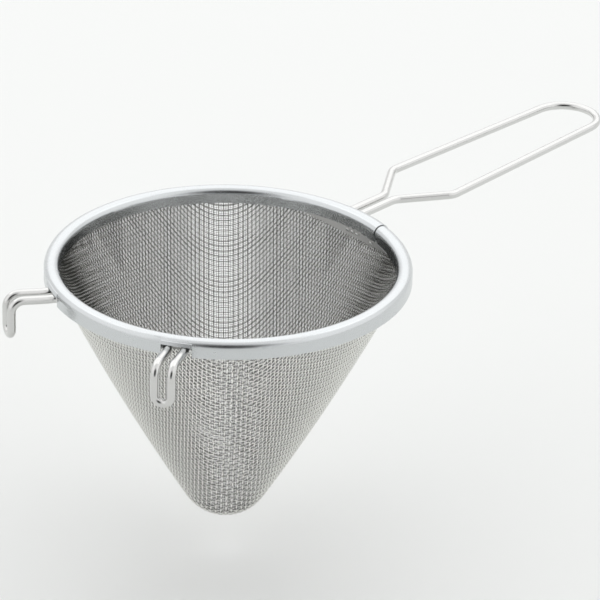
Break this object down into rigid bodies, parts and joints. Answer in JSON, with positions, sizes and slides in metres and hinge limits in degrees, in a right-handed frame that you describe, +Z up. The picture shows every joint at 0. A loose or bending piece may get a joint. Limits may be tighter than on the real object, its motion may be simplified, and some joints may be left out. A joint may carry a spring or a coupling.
{
  "type": "double conical strainer",
  "caption": "Conical strainer of two nested woven wire cones under a rolled rim, with a long wire loop handle and wire hooks that carry it on the edge of a pail.",
  "frame": {"origin": "centre of the rim, level with the springing line of its rolled bead", "axes": "+X runs from the rim's centre along the handle, +Z is up towards the open mouth, +Y completes a right-handed frame"},
  "size_m": [0.34, 0.16, 0.1245],
  "materials": {
    "rim_steel": "polished rolled sheet",
    "plain_steel": "mill finish sheet",
    "coarse_weave": "drawn wire cloth",
    "fine_weave": "drawn wire cloth",
    "wire_steel": "polished wire",
    "weld_spots": "spot weld"
  },
  "bodies": {
    "root": {"rim_band": "rim_steel", "clamp_hoop": "plain_steel", "inner_mesh": "fine_weave", "outer_mesh": "coarse_weave", "joint_plate": "plain_steel", "plate_welds": "weld_spots", "handle": "wire_steel", "handle_welds": "weld_spots", "hook_left": "wire_steel", "hook_left_welds": "weld_spots", "hook_right": "wire_steel", "hook_right_welds": "weld_spots"}
  },
  "joints": []
}
